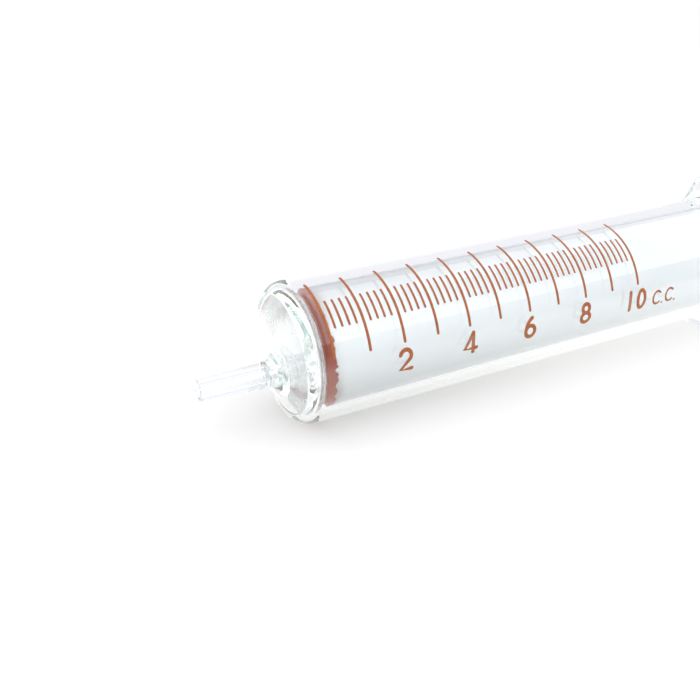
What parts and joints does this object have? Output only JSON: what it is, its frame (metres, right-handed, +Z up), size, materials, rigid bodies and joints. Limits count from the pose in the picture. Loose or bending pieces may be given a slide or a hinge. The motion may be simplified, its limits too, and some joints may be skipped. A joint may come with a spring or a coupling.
{
  "type": "glass syringe",
  "caption": "All-glass syringe with a graduated clear barrel, slip nozzle, two-eared finger flange and a hollow ground-glass plunger with a brown reading band.",
  "frame": {"origin": "under the middle of the syringe's box, on the table it lies on, with its front shoulder and the lower ear of its flange touching the table", "axes": "+X from the nozzle towards the finger flange and the thumb button (the syringe's axis rises 2.71 degrees towards +X), +Z up, -Y the side that the scale faces"},
  "size_m": [0.1124, 0.0216, 0.0264],
  "materials": {
    "clear_glass": "clear polished blown glass",
    "ground_glass": "ground frosted outside, clear at the front end and the button",
    "brown_enamel": "fired red-brown enamel, slightly glossy"
  },
  "bodies": {
    "barrel_body": {"barrel": "clear_glass", "long_graduations": "brown_enamel", "short_graduations": "brown_enamel"},
    "plunger_body": {"plunger": "ground_glass", "plunger_band": "brown_enamel"}
  },
  "joints": [
    {"name": "plunger_slide", "type": "slide", "parent": "barrel_body", "child": "plunger_body", "axis": [0.9989, 0, 0.0472], "range_m": [0, 0.068]}
  ]
}
